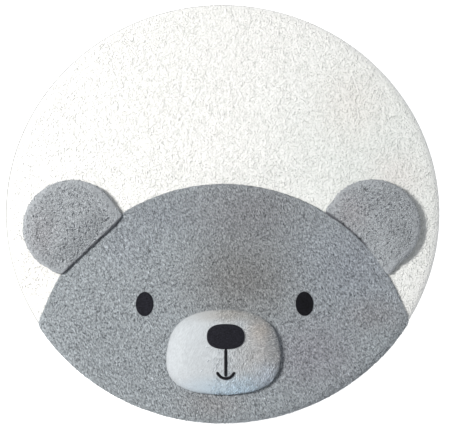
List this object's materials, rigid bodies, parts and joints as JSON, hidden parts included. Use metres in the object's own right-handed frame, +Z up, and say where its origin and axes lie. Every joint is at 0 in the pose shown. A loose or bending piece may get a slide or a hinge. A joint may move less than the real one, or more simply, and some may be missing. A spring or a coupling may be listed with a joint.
{
  "type": "baby play mat",
  "caption": "Round padded baby play mat in teddy fleece, with a bear's head sewn on, filled ears and muzzle, and a felt and stitched face.",
  "frame": {"origin": "the middle of the mat's underside, on the floor", "axes": "+X to the right and +Y to the top of the face as the picture shows it, +Z up out of the floor"},
  "size_m": [1, 1.002, 0.0793],
  "materials": {
    "white_fleece": "curly teddy fleece, matt",
    "grey_fleece": "fine teddy fleece, matt",
    "cream_plush": "short plush, matt",
    "black_felt": "soft felt, matt",
    "black_thread": "satin stitching"
  },
  "bodies": {
    "root": {"mat": "white_fleece", "head": "grey_fleece", "ear_left": "grey_fleece", "ear_right": "grey_fleece", "muzzle": "cream_plush", "nose": "black_felt", "eye_left": "black_felt", "eye_right": "black_felt", "mouth": "black_thread"}
  },
  "joints": []
}
